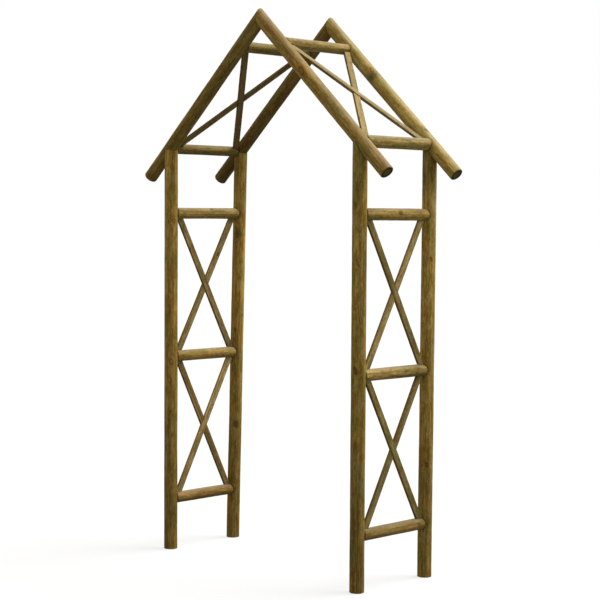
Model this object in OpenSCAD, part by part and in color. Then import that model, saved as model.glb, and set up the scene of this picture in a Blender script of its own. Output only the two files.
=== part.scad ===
// Rustic garden arch of machine-rounded poles.
// Two gable frames stand one behind the other. Rungs, ties and crossed braces join them.
// X runs across the walk-through, Y runs from the front frame to the back one, Z is up.
// Millimetres throughout. The ground is z = 0, midway between the four posts.

/* [Size] */
// Distance between the post axes across the walk-through
span = 1150; // [800:10:1800]
// Distance between the post axes from front to back
depth = 420; // [280:10:700]
// Height at which a post axis meets its rafter axis
eaves_height = 1799; // [1620:1:2200]
// Slope of the roof, in degrees
pitch = 42.3; // [30:0.5:50]
// Length of rafter past the post axis, along the slope
overhang = 195; // [100:5:260]

/* [Poles] */
// Post diameter
post_d = 60; // [52:1:80]
// Rafter diameter
rafter_d = 59; // [54:1:80]
// Side rung diameter
rung_d = 50; // [36:1:56]
// Diameter of the left eaves tie
left_eaves_tie_d = 46; // [36:1:54]
// Diameter of the right eaves tie
right_eaves_tie_d = 51; // [36:1:54]
// Ridge tie diameter
ridge_tie_d = 47; // [36:1:54]
// Chamfer round the low end of each rafter
end_chamfer = 2.5; // [0:0.5:6]

/* [Side panels] */
// Height of the lowest rung axis on the left
first_rung = 227; // [150:1:400]
// How much lower the rungs on the right sit
right_rungs_down = 1; // [0:1:40]
// Distance from one rung axis to the next
rung_step = 640; // [500:5:700]
// How far forward the foot of the back left post stands
left_foot_in = 42; // [0:1:60]
// How far forward the foot of the back right post stands
right_foot_in = 9; // [0:1:60]
// How far the square-sawn post head stops short of the rafter axis
head_drop = 11; // [4:1:20]

/* [Roof ties] */
// How far outside the post axis the eaves tie sits
eaves_tie_out = 6; // [0:1:20]
// Distance of each ridge tie axis from the ridge line, across the walk-through
ridge_tie_x = 121; // [70:1:200]

/* [Braces] */
// Width of the batten that a brace is made from
brace_w = 29; // [20:1:40]
// Thickness of the batten
brace_t = 12; // [8:0.5:18]
// Chamfer along the batten's four long edges
brace_chamfer = 1; // [0.5:0.5:3]
// How far the inner face of an inner brace lies inside the plane of the pole axes
brace_set = 6.5; // [0:0.5:8]
// How far an outer brace stands out beyond the inner one it crosses
brace_step = 3; // [1:0.5:6]
// How far above an upper rung axis a brace line meets the post
reach_up = 15; // [0:1:18]
// How far below a lower rung axis a brace line meets the post
reach_down = 4; // [0:1:18]

/* [Fits] */
// Clearance left at every scribed seat
seat_gap = 0.3; // [0.1:0.05:1]
// Clearance between the two halves of a cross-halving joint
lap_gap = 0.2; // [0.1:0.05:1]

/* [Hidden] */
$fn = 64;
axis_x = span / 2;
axis_y = depth / 2;
ridge_height = eaves_height + axis_x * tan(pitch);
head_z = eaves_height - head_drop;
post_face_y = axis_y - post_d / 2;
rafter_face_y = axis_y - rafter_d / 2;
// Slope distances are measured up the rafter axis from the post axis.
eaves_s = -eaves_tie_out / cos(pitch);
ridge_s = (axis_x - ridge_tie_x) / cos(pitch);
// Half of what the two braces of a pair share is cut from each, down to this height.
lap_n = (brace_step + brace_t) / 2 - brace_set;
// How far a blank or a cutter runs past what it cuts
spare = 60;
pole_colour = "#8f7440";
rung_colour = "#9a8049";
brace_colour = "#a68a52";

// side is -1 for left and 1 for right. row is -1 for the front frame and 1 for the back one.
function foot_in(side, row) = row < 0 ? 0 : side < 0 ? left_foot_in : right_foot_in;
function eaves_tie_d(side) = side < 0 ? left_eaves_tie_d : right_eaves_tie_d;
// Height of rung i, counted from 0 at the bottom
function rung_z(side, i) = first_rung + i * rung_step - (side > 0 ? right_rungs_down : 0);
// Height of a brace's inner face over the plane of the pole axes
function face_n(outer) = (outer ? brace_step : 0) - brace_set;
// How far forward a post axis stands at height z
function post_shift(side, row, z) = foot_in(side, row) * (1 - z / eaves_height);
function post_point(side, row, z) = [side * axis_x, row * axis_y - post_shift(side, row, z), z];

// A round bar from point a to point b, with a chamfer at a
module bar(a, b, d, chamfer = 0) {
  v = b - a;
  translate(a) rotate([0, acos(v[2] / norm(v)), atan2(v[1], v[0])]) {
    translate([0, 0, chamfer]) cylinder(h = norm(v) - chamfer, d = d);
    if (chamfer > 0) cylinder(h = chamfer, d1 = d - 2 * chamfer, d2 = d);
  }
}

// ---- Solids, each grown by g where another piece is scribed to it ----

// A post without its saddle: level at the ground, sawn square at the head
module post_blank(side, row, g = 0) {
  lean = atan(foot_in(side, row) / eaves_height);
  difference() {
    bar(post_point(side, row, -spare), post_point(side, row, head_z + spare), post_d + 2 * g);
    translate(post_point(side, row, -spare - g)) cube([2 * post_d, 2 * post_d, 2 * spare], center = true);
    translate(post_point(side, row, head_z + g)) rotate([-lean, 0, 0])
      translate([0, 0, spare]) cube([2 * post_d, 2 * post_d, 2 * spare], center = true);
  }
}

// A rafter without its plumb cut, from the overhang to past the ridge
module rafter_bar(side, row, g = 0) {
  c = cos(pitch);
  s = sin(pitch);
  low = [side * (axis_x + overhang * c), row * axis_y, eaves_height - overhang * s];
  top = [-side * rafter_d * c, row * axis_y, ridge_height + rafter_d * s];
  bar(low, top, rafter_d + 2 * g, end_chamfer);
}

module rung_bar(side, i, g = 0) {
  z = rung_z(side, i);
  bar(post_point(side, -1, z), post_point(side, 1, z), rung_d + 2 * g);
}

// A tie lies on the rafter axes, s up the slope from the post axis
module tie_bar(side, s, d, g = 0) {
  x = side * (axis_x - s * cos(pitch));
  z = eaves_height + s * sin(pitch);
  bar([x, -axis_y, z], [x, axis_y, z], d + 2 * g);
}

// ---- Braces ----

// Puts a flat drawing into a side panel (tilt 90) or a roof slope (tilt = pitch).
// Drawn x becomes the depth, drawn y climbs the panel, drawn z points outwards.
module in_panel(side, tilt, z0)
  rotate([0, 0, side > 0 ? 0 : 180]) translate([axis_x, 0, z0])
    rotate([0, tilt - 90, 0]) rotate([90, 0, 90]) children();

// The batten's section, grown by g. Drawn x lies across its face, drawn y through its thickness.
module batten_section(g = 0) {
  x = brace_w / 2 + g;
  top = brace_t + g;
  c = brace_chamfer;
  polygon([
    [c - x, -g], [x - c, -g], [x, c - g], [x, top - c],
    [x - c, top], [c - x, top], [-x, top - c], [-x, c - g]
  ]);
}

// The batten before its ends are cut. It runs past points p and q of the panel, by its own width.
module brace_bar(p, q, outer, g = 0) {
  along = (q - p) / norm(q - p);
  a = p - brace_w * along;
  translate([a[0], a[1], face_n(outer)]) rotate([0, 0, atan2(along[1], along[0])]) rotate([90, 0, 90])
    linear_extrude(norm(q - p) + 2 * brace_w) batten_section(g);
}

// The panel's space beyond height n, and the space below it
module beyond(n)
  translate([-ridge_height, -ridge_height, n]) cube([2 * ridge_height, 2 * ridge_height, spare]);
module below(n) beyond(n - spare);

// One brace through p and q, kept to the window between the pole axes. Its partner runs through a and b.
// Where they cross, the outer brace keeps its outer half and the inner one its inner half.
module halved_batten(p, q, a, b, corners, outer) difference() {
  intersection() {
    brace_bar(p, q, outer);
    translate([0, 0, -spare]) linear_extrude(2 * spare) polygon(corners);
  }
  intersection() {
    brace_bar(a, b, !outer, lap_gap);
    if (outer) below(lap_n + lap_gap / 2);
    else beyond(lap_n - lap_gap / 2);
  }
}

// Points of a panel as [depth, height], seen with the right panel's outward side to the viewer.
// y is the depth before a post's lean.
function side_point(side, row, y, z) = [side * (row * y - post_shift(side, row, z)), z];
function roof_point(side, row, y, s) = [side * row * y, s];

// The ends of a side brace, front one first. i is 0 for the lower panel.
function side_line(side, i, falls) = [
  for (row = [-1, 1]) let (high = falls == (row < 0))
    side_point(side, row, post_face_y, high ? rung_z(side, i + 1) + reach_up : rung_z(side, i) - reach_down)
];
function roof_line(side, falls) = [
  for (row = [-1, 1]) roof_point(side, row, rafter_face_y, falls == (row < 0) ? ridge_s : eaves_s)
];

// The window between the axes of the poles round a panel
function side_window(side, i) = [
  for (c = [[-1, 0], [1, 0], [1, 1], [-1, 1]]) side_point(side, c[0], axis_y, rung_z(side, i + c[1]))
];
function roof_window(side) = [
  for (c = [[-1, eaves_s], [1, eaves_s], [1, ridge_s], [-1, ridge_s]]) roof_point(side, c[0], axis_y, c[1])
];

// A side brace, scribed to the posts and rungs at its ends
module side_brace(side, i, falls, outer) {
  me = side_line(side, i, falls);
  other = side_line(side, i, !falls);
  color(brace_colour) difference() {
    in_panel(side, 90, 0)
      halved_batten(me[0], me[1], other[0], other[1], side_window(side, i), outer);
    for (row = [-1, 1]) post_blank(side, row, seat_gap);
    for (k = [i, i + 1]) rung_bar(side, k, seat_gap);
  }
}

// A roof brace, scribed to the rafters and ties at its ends
module roof_brace(side, falls, outer) {
  me = roof_line(side, falls);
  other = roof_line(side, !falls);
  color(brace_colour) difference() {
    in_panel(side, pitch, eaves_height)
      halved_batten(me[0], me[1], other[0], other[1], roof_window(side), outer);
    for (row = [-1, 1]) rafter_bar(side, row, seat_gap);
    tie_bar(side, eaves_s, eaves_tie_d(side), seat_gap);
    tie_bar(side, ridge_s, ridge_tie_d, seat_gap);
  }
}

// ---- Poles with their joints cut ----

// A post with the saddle that its rafter lies in
module post(side, row) color(pole_colour) difference() {
  post_blank(side, row);
  rafter_bar(side, row, seat_gap);
}

// A rung, fish-mouthed to both posts
module rung(side, i) color(rung_colour) difference() {
  rung_bar(side, i);
  post_blank(side, -1, seat_gap);
  post_blank(side, 1, seat_gap);
}

// A rafter with the plumb mitre that meets its partner at the ridge
module rafter(side, row) color(pole_colour) difference() {
  rafter_bar(side, row);
  translate([side * (seat_gap / 2 - 2 * rafter_d), row * axis_y, ridge_height])
    cube([4 * rafter_d, 2 * rafter_d, 6 * rafter_d], center = true);
}

// An eaves tie, scribed to both rafters and both post heads
module eaves_tie(side) color(rung_colour) difference() {
  tie_bar(side, eaves_s, eaves_tie_d(side));
  for (row = [-1, 1]) {
    rafter_bar(side, row, seat_gap);
    post_blank(side, row, seat_gap);
  }
}

// A ridge tie, fish-mouthed to both rafters
module ridge_tie(side) color(rung_colour) difference() {
  tie_bar(side, ridge_s, ridge_tie_d);
  for (row = [-1, 1]) rafter_bar(side, row, seat_gap);
}

// ---- Named pieces ----

module post_front_left() post(-1, -1);
module post_front_right() post(1, -1);
module post_back_left() post(-1, 1);
module post_back_right() post(1, 1);
module rung_left_low() rung(-1, 0);
module rung_left_mid() rung(-1, 1);
module rung_left_top() rung(-1, 2);
module rung_right_low() rung(1, 0);
module rung_right_mid() rung(1, 1);
module rung_right_top() rung(1, 2);
module rafter_front_left() rafter(-1, -1);
module rafter_front_right() rafter(1, -1);
module rafter_back_left() rafter(-1, 1);
module rafter_back_right() rafter(1, 1);
module tie_eaves_left() eaves_tie(-1);
module tie_eaves_right() eaves_tie(1);
module tie_ridge_left() ridge_tie(-1);
module tie_ridge_right() ridge_tie(1);
module brace_left_low_fall() side_brace(-1, 0, true, true);
module brace_left_low_rise() side_brace(-1, 0, false, false);
module brace_left_high_fall() side_brace(-1, 1, true, false);
module brace_left_high_rise() side_brace(-1, 1, false, true);
module brace_right_low_fall() side_brace(1, 0, true, true);
module brace_right_low_rise() side_brace(1, 0, false, false);
module brace_right_high_fall() side_brace(1, 1, true, true);
module brace_right_high_rise() side_brace(1, 1, false, false);
module brace_roof_left_fall() roof_brace(-1, true, false);
module brace_roof_left_rise() roof_brace(-1, false, true);
module brace_roof_right_fall() roof_brace(1, true, true);
module brace_roof_right_rise() roof_brace(1, false, false);

post_front_left();
post_front_right();
post_back_left();
post_back_right();
rung_left_low();
rung_left_mid();
rung_left_top();
rung_right_low();
rung_right_mid();
rung_right_top();
rafter_front_left();
rafter_front_right();
rafter_back_left();
rafter_back_right();
tie_eaves_left();
tie_eaves_right();
tie_ridge_left();
tie_ridge_right();
brace_left_low_fall();
brace_left_low_rise();
brace_left_high_fall();
brace_left_high_rise();
brace_right_low_fall();
brace_right_low_rise();
brace_right_high_fall();
brace_right_high_rise();
brace_roof_left_fall();
brace_roof_left_rise();
brace_roof_right_fall();
brace_roof_right_rise();
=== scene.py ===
"""Rustic garden arch: every pole, brace and screw head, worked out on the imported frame.

Lengths are metres. X runs across the walk-through, Y from the front frame to the back one, Z up.
side is -1 for left and 1 for right. row is -1 for the front frame and 1 for the back one.
"""
import math
from collections import namedtuple

import bpy
import numpy as np
from mathutils import Matrix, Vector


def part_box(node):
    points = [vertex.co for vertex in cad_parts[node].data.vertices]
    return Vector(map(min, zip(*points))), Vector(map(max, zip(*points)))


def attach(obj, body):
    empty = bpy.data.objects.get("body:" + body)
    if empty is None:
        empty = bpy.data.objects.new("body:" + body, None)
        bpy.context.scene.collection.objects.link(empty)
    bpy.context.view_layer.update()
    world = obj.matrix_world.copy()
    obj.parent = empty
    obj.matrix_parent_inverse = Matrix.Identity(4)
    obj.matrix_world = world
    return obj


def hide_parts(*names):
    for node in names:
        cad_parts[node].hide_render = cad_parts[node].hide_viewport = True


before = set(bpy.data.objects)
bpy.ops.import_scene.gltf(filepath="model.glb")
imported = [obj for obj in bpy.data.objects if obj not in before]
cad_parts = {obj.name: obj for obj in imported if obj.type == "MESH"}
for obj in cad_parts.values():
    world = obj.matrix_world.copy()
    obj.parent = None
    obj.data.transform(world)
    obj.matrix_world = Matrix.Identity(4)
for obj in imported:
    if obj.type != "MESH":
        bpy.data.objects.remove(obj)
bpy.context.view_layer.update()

SIDES = {-1: "left", 1: "right"}
ROWS = {-1: "front", 1: "back"}
LEVELS = ("low", "mid", "top")
TIE_PLACES = ("eaves", "ridge")
MM = 0.001

# ---- Sizes that the frame's boxes don't hold, the same as in the part's source ----

SEAT_GAP = 0.3 * MM
LAP_GAP = 0.2 * MM
END_CHAMFER = 2.5 * MM
BRACE_WIDTH = 29 * MM
REACH_UP = 15 * MM
REACH_DOWN = 4 * MM
OUTER_BRACES = (
    "brace_left_low_fall", "brace_left_high_rise", "brace_right_low_fall",
    "brace_right_high_fall", "brace_roof_left_rise", "brace_roof_right_fall",
)

# ---- Small helpers ----


def unit(v):
    return v / np.linalg.norm(v)


def low_corner(node):
    return np.array(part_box(node)[0])


def high_corner(node):
    return np.array(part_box(node)[1])


def middle(node):
    return (low_corner(node) + high_corner(node)) / 2


def extent(node):
    return high_corner(node) - low_corner(node)


def dot(a, b):
    return (a * b).sum(-1)


def ease(x):
    """Rises smoothly from 0 to 1 as x goes from 0 to 1: 3 x squared less 2 x cubed."""
    x = np.clip(x, 0, 1)
    return x * x * (3 - 2 * x)


def turn_between(a, b):
    """The smaller turn from angle b to angle a."""
    return (a - b + np.pi) % (2 * np.pi) - np.pi


def corner_node(kind, side, row):
    return "%s_%s_%s" % (kind, ROWS[row], SIDES[side])


def cross_node(side, place):
    """The rung at a level, or the tie at the eaves or the ridge."""
    if place in LEVELS:
        return "rung_%s_%s" % (SIDES[side], place)
    return "tie_%s_%s" % (place, SIDES[side])


def add_object(name, data):
    thing = bpy.data.objects.new(name, data)
    bpy.context.collection.objects.link(thing)
    return thing


# ---- Where the poles stand, read off the frame ----

POST_R = extent("post_front_right")[0] / 2
RAFTER_R = extent("rafter_front_right")[1] / 2
AXIS_X = middle("post_front_right")[0]
AXIS_Y = -middle("post_front_right")[1]
HEAD_Z = high_corner("post_front_right")[2]
EAVES_TIE = middle("tie_eaves_right")
RIDGE_TIE = middle("tie_ridge_right")
PITCH = math.atan2(RIDGE_TIE[2] - EAVES_TIE[2], EAVES_TIE[0] - RIDGE_TIE[0])
EAVES_Z = EAVES_TIE[2] + (EAVES_TIE[0] - AXIS_X) * math.tan(PITCH)
RIDGE_Z = EAVES_Z + AXIS_X * math.tan(PITCH)
LOW_END_X = high_corner("rafter_front_right")[0] - (RAFTER_R - END_CHAMFER) * math.sin(PITCH)
BRACE_DEPTH = extent("brace_right_low_fall")[0]
OUTER_LEVEL = middle("brace_right_low_fall")[0] - AXIS_X
INNER_LEVEL = middle("brace_right_low_rise")[0] - AXIS_X
LAP_LEVEL = (OUTER_LEVEL + INNER_LEVEL) / 2


class Pole:
    """A round pole: its axis from start to end, and its radius."""

    def __init__(self, start, end, radius):
        self.start = np.array(start, float)
        self.end = np.array(end, float)
        self.radius = radius
        self.length = np.linalg.norm(self.end - self.start)
        self.along = unit(self.end - self.start)


def post_point(side, row, z):
    """The post's axis at height z. A back post leans forward in a straight line from eaves to foot."""
    y = row * AXIS_Y
    if row > 0:
        foot_in = AXIS_Y - (low_corner(corner_node("post", side, row))[1] + POST_R)
        y -= foot_in * (1 - z / EAVES_Z)
    return np.array([side * AXIS_X, y, z])


def slope_point(side, row, x):
    """The rafter's axis at distance x from the ridge line, across the walk-through."""
    return np.array([side * x, row * AXIS_Y, RIDGE_Z - x * math.tan(PITCH)])


def cross_pole(side, place):
    """A rung between the axes of its posts, or a tie between the planes of the two frames."""
    node = cross_node(side, place)
    x, _, z = middle(node)
    radius = extent(node)[0] / 2
    if place in LEVELS:
        return Pole(post_point(side, -1, z), post_point(side, 1, z), radius)
    return Pole((x, -AXIS_Y, z), (x, AXIS_Y, z), radius)


CORNERS = [(side, row) for side in SIDES for row in ROWS]
POSTS = {c: Pole(post_point(*c, 0), post_point(*c, EAVES_Z), POST_R) for c in CORNERS}
RAFTERS = {c: Pole(slope_point(*c, LOW_END_X), slope_point(*c, 0), RAFTER_R) for c in CORNERS}
CROSS_POLES = {
    (side, place): cross_pole(side, place)
    for places in (LEVELS, TIE_PLACES) for side in SIDES for place in places
}

# ---- Where pieces touch ----

SURFACES = {}
# Dirt and painted shade fade out over this distance from where pieces meet.
JOINT_SHADE_REACH = 2.5 * MM


def off_pole(pole):
    """A function that gives how far points lie off a pole's round side, or a metre past its ends."""

    def distance(points):
        along = dot(points - pole.start, pole.along)
        away = points - pole.start - along[..., None] * pole.along
        beside = (along > 0) & (along < pole.length)
        return np.where(beside, np.linalg.norm(away, axis=-1) - pole.radius, 1.0)

    return distance


def off_batten(line, normal, level):
    """A function that gives how far points lie off a batten's box, or a metre past its ends.

    Beside it, that is the root of the sum of two squares: how far they lie outside its width, and how
    far outside its depth.
    """
    length = np.linalg.norm(line[1] - line[0])
    along = unit(line[1] - line[0])
    across = np.cross(normal, along)

    def distance(points):
        offset = points - line[0]
        aside = np.abs(dot(offset, across)) - BRACE_WIDTH / 2
        above = np.abs(dot(offset, normal) - level) - BRACE_DEPTH / 2
        run = dot(offset, along)
        beside = (run > 0) & (run < length)
        return np.where(beside, np.hypot(np.maximum(aside, 0), np.maximum(above, 0)), 1.0)

    return distance


def joint_dirt_and_shade(points, apart_from):
    """Dirt and painted shade where pieces meet: exp of minus (distance to the nearest other piece /
    reach).
    """
    closest = np.full(points.shape[:-1], 1.0)
    for node, distance in SURFACES.items():
        if node not in apart_from:
            closest = np.minimum(closest, distance(points))
    return np.exp(-np.maximum(closest, 0) / JOINT_SHADE_REACH)


# ---- Cuts: how far a line through a piece runs before it meets what the piece is seated on ----


def scribed_to(pole, below=None):
    """A cut that follows a pole's round side, SEAT_GAP off it.

    A point goes along its line until its distance square to the pole's axis is the radius and the gap:
    the smaller root of a quadratic. Lines that miss run on. Where below is given, so do the lines of
    a level piece that aren't under that height.
    """

    def cut(points, way):
        across_way = way - dot(way, pole.along) * pole.along
        offset = points - pole.start
        across = offset - dot(offset, pole.along)[..., None] * pole.along
        a = dot(across_way, across_way)
        b = 2 * dot(across, across_way)
        c = dot(across, across) - (pole.radius + SEAT_GAP) ** 2
        inside = b * b - 4 * a * c
        run = np.where(inside > 0, (-b - np.sqrt(np.maximum(inside, 0))) / (2 * a), np.inf)
        if below is not None:
            run = np.where(points[..., 2] < below, run, np.inf)
        return run

    return cut


def sawn_at(point, normal):
    """A flat cut through a point, square to the normal."""
    return lambda points, way: dot(point - points, np.array(normal)) / dot(way, np.array(normal))


def nearest(cuts, points, way):
    """The first of several cuts that each line meets."""
    return np.minimum.reduce([cut(points, way) for cut in cuts])


# ---- The natural shape of the wood's surface ----

# Angles are in degrees round the piece. A knot's size is its half width and a split's its width, in
# millimetres. A split follows the grain, and a flat, whose size is its depth, was left where the stem
# was too thin for the rounding cutter.
Knot = namedtuple("Knot", "along angle size dark", defaults=[1.0])
Stretch = namedtuple("Stretch", "angle start stop size")

RING_GAP = 6 * MM
RIPPLE_HEIGHT, SHORTEST_RIPPLE = 0.1 * MM, 0.03
KNOT_STRETCH, KNOT_RISE, KNOT_DENT = 1.5, 0.7 * MM, 0.5 * MM
RISE_SPREAD, DENT_SPREAD = 2.2, 0.25
FAR_OFF = 9.0
FLAT_REACH = 1.2
SPLIT_ROOM = 4.2 * MM
SPOT_MARGIN, SPOT_ROOM, SPOT_REACH = 20 * MM, 8.5 * MM, 7 * MM
GREENER = np.array([-0.08, 0.05, 0.04])
GREYER = np.array([0, 0, 0.2])


def unevenness(rng, around, along, size, count=12, longest=0.9, shortest=0.14):
    """A sum of waves, size x cos(n around + k along + phase), n whole so that each closes round the pole.

    Long waves are higher than short ones, and the sum is scaled to a root mean square of 0.7 size.
    """
    total = np.zeros(np.broadcast(around, along).shape)
    weight = 0.0
    for _ in range(count):
        length = math.exp(rng.uniform(math.log(shortest), math.log(longest)))
        share = math.sqrt(length / longest)
        turns = int(rng.integers(0, 4))
        total += share * np.cos(turns * around + 2 * np.pi * along / length + rng.uniform(0, 2 * np.pi))
        weight += share * share
    return size * total / math.sqrt(weight)


def hollows(rng, around, along, mean, wave, ripples, longest_ripple):
    """How far the wood lies under its full size: a mean depth, long waves of height wave, and ripples."""
    waves = unevenness(rng, around, along, wave)
    rippled = unevenness(rng, around, along, RIPPLE_HEIGHT, ripples, longest_ripple, SHORTEST_RIPPLE)
    return mean + waves + rippled


def no_knot(*shape):
    """The knot space of points that are near no knot."""
    place = np.zeros(shape + (3,))
    place[..., :2] = FAR_OFF
    return place


def knot_space(knots, around, along, radius):
    """For each point, (distance along, distance round, darkness) from its nearest knot, in knot sizes."""
    shape = np.broadcast(around, along).shape
    best = np.full(shape, np.inf)
    place = no_knot(*shape)
    for knot in knots:
        size = knot.size * MM
        u = (along - knot.along) / (KNOT_STRETCH * size)
        v = radius * turn_between(around, math.radians(knot.angle)) / size
        far = u * u + v * v
        here = np.stack([u + 0 * v, v + 0 * u, np.full(shape, knot.dark)], -1)
        place = np.where((far < best)[..., None], np.clip(here, -FAR_OFF, FAR_OFF), place)
        best = np.minimum(best, far)
    return place


def knot_swell(place):
    """How far the wood stands up round a knot: a bell over it, less a small dent at its heart."""
    far = place[..., 0] ** 2 + place[..., 1] ** 2
    return KNOT_RISE * np.exp(-far / RISE_SPREAD) - KNOT_DENT * np.exp(-far / DENT_SPREAD)


def half_sine(stretch, along):
    """1 in the middle of a stretch and 0 at its ends: the sine of half a turn along it."""
    share = (along - stretch.start) / (stretch.stop - stretch.start)
    return np.sin(np.pi * np.clip(share, 0, 1))


def split_depth(split, around, along, radius):
    """A rounded V across the split, 3.5 widths deep: exp of minus (distance / half width) to the 1.5.

    It is widest in the middle and closes at both ends, as the root of a half sine.
    """
    width = split.size * MM
    opening = np.sqrt(np.clip(half_sine(split, along), 0, 1))
    half = 0.5 * width * (0.4 + 0.6 * opening)
    off = np.abs(turn_between(around, math.radians(split.angle))) * radius
    return 3.5 * width * opening * np.exp(-((off / half) ** 1.5))


def flat_depth(flat, around, along, radius):
    """How far the flat lies under the round: radius less (radius - depth) / cos(turn), where positive."""
    depth = flat.size * MM * half_sine(flat, along) ** 2
    turn = turn_between(around, math.radians(flat.angle))
    near = np.abs(turn) < FLAT_REACH
    under = radius - (radius - depth) / np.where(near, np.cos(turn), 1)
    return np.where(near, np.maximum(under, 0), 0)


class Look:
    """What is particular to one piece: its seed, tone, knots, splits, flats, screws and stains.

    shade is 1 for a middling piece and more for a paler one. green is 0 for a middling piece, 1 for a
    greenish one and -1 for a reddish one. grey is 0 for a middling piece and 1 for one that has
    weathered greyer. fade is how pale its start and its end are beside the whole, and head how much
    painted shadow of the eaves darkens its upper end.
    """

    def __init__(self, seed, shade=1.0, green=0.0, grey=0.0, knots=(), splits=(), flats=(), screws=(),
                 stains=(), fade=(1.0, 1.0), head=0.0):
        self.seed = seed
        self.fade = fade
        self.head = head
        self.tint = shade * (1 + green * GREENER + grey * GREYER)
        self.knots = [Knot(*k) for k in knots]
        self.splits = [Stretch(*s) for s in splits]
        self.flats = [Stretch(*f) for f in flats]
        self.screws = screws
        self.stains = stains


def columns(look, radius, count):
    """Angles round the pole: even, but with nine close together over each split."""
    angles = np.arange(count) * 2 * np.pi / count
    close = np.array([-3.0, -1.4, -0.7, -0.3, 0, 0.3, 0.7, 1.4, 3.0]) * MM / radius
    for split in look.splits:
        middle_of = math.radians(split.angle)
        angles = angles[np.abs(turn_between(angles, middle_of)) * radius > SPLIT_ROOM]
        angles = np.concatenate([angles, (middle_of + close) % (2 * np.pi)])
    return np.sort(angles)


def stations(length, gap, spots=()):
    """Shares of the length, from 0 to 1: a gap apart, and closer near both ends and round the spots."""
    near_end = np.array([0, 0.35, 0.8, 1.4, 2.2, 3.2, 5.0]) * MM
    margin, least_step = 8 * MM, 0.4 * MM
    inner = np.linspace(margin, length - margin, max(4, int(round((length - 2 * margin) / gap)) + 1))
    for spot in spots:
        if SPOT_MARGIN < spot < length - SPOT_MARGIN:
            inner = inner[np.abs(inner - spot) > SPOT_ROOM]
            inner = np.concatenate([inner, spot + np.linspace(-1, 1, 8) * SPOT_REACH])
    inner = np.sort(inner)
    inner = inner[np.concatenate([[True], np.diff(inner) > least_step])]
    return np.concatenate([near_end, inner, length - near_end[::-1]]) / length


# ---- Meshes ----

# How far out the rings of a cap lie, as shares of the way from its heart to its rim.
CAPS = np.array([0.985, 0.95, 0.86, 0.72, 0.55, 0.36, 0.18])[:, None]
SHARP_ANGLE = math.radians(42)


def closed_surface(name, rings, hearts, attributes, cap_rings, materials):
    """A closed mesh: rings of points in order from one heart to the other, each ring closed on itself.

    Each four neighbouring points make a face, and the first and last rings close on their hearts.
    The faces at the hearts, and the cap_rings rows of faces next to them, take the second material.
    """
    count, width = rings.shape[:2]
    points = np.concatenate([rings.reshape(-1, 3), hearts])
    here = np.arange(count * width).reshape(count, width)
    after = np.roll(here, -1, axis=1)
    heart = np.full(width, count * width)
    quads = np.stack([here[:-1], after[:-1], after[1:], here[1:]], -1)
    start_fan = np.stack([heart, after[0], here[0]], -1)
    end_fan = np.stack([heart + 1, here[-1], after[-1]], -1)
    corners = np.concatenate([quads.ravel(), start_fan.ravel(), end_fan.ravel()]).astype(np.int32)
    sizes = np.repeat([4, 3], [(count - 1) * width, 2 * width])
    starts = (np.cumsum(sizes) - sizes).astype(np.int32)
    ring_of = np.repeat(np.arange(count - 1), width)
    sawn = (ring_of < cap_rings) | (ring_of >= count - 1 - cap_rings)
    slots = np.concatenate([sawn, np.ones(2 * width, bool)]).astype(np.int32)

    mesh = bpy.data.meshes.new(name)
    mesh.vertices.add(len(points))
    mesh.vertices.foreach_set("co", points.astype(np.float32).ravel())
    mesh.loops.add(len(corners))
    mesh.loops.foreach_set("vertex_index", corners)
    mesh.polygons.add(len(sizes))
    mesh.polygons.foreach_set("loop_start", starts)
    mesh.polygons.foreach_set("material_index", slots)
    mesh.update(calc_edges=True)
    for key, values in attributes.items():
        kind, field = ("FLOAT_COLOR", "color") if values.shape[-1] == 4 else ("FLOAT_VECTOR", "vector")
        layer = mesh.attributes.new(key, kind, "POINT")
        layer.data.foreach_set(field, values.astype(np.float32).ravel())
    mesh.shade_smooth()
    mesh.set_sharp_from_angle(angle=SHARP_ANGLE)
    for material in materials:
        mesh.materials.append(material)
    return add_object(name, mesh)


def with_ends(side_values, start_value, end_value):
    """Adds, before and after the values on the side, those of the cap rings."""
    return np.concatenate([start_value, side_values, end_value])


def with_caps(a, b, run, start_run, end_run, b_shares=CAPS):
    """Adds the rings of both caps, where a shrinks to the heart and b as b_shares say.

    start_run and end_run give the run of a point of the section at the cuts. Gives a, b and run with
    the caps, and then the run at the two hearts.
    """
    start_cap = a[0] * CAPS[::-1], b[0] * b_shares[::-1]
    end_cap = a[-1] * CAPS, b[-1] * b_shares
    heart = np.zeros(1)
    heart_run = np.concatenate([start_run(heart, heart), end_run(heart, heart)])
    run = with_ends(run, start_run(*start_cap), end_run(*end_cap))
    return with_ends(a, start_cap[0], end_cap[0]), with_ends(b, start_cap[1], end_cap[1]), run, heart_run


def cross_directions(along):
    """Two directions square to the axis and to each other, the first as level as can be."""
    level = np.array([1.0, 0, 0]) if abs(along[2]) > 0.9 else unit(np.cross([0, 0, 1], along))
    first = unit(level - dot(level, along) * along)
    return first, np.cross(along, first)


# Painted shade darkens the tone towards the ground: down to the first of the three below as far up as
# the second, and is gone the third higher. Painted shadow of the eaves darkens a head from the first of
# the two after, and is complete the second higher. Each seed moves the grain GRAIN_STEP on.
FOOT_SHADE_TONE, FOOT_SHADE_FROM, FOOT_SHADE_RISE = 0.61, 0.12, 1.13
EAVES_SHADOW_FROM, EAVES_SHADOW_RISE = 1.52, 0.16
GRAIN_STEP = 3.71


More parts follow.
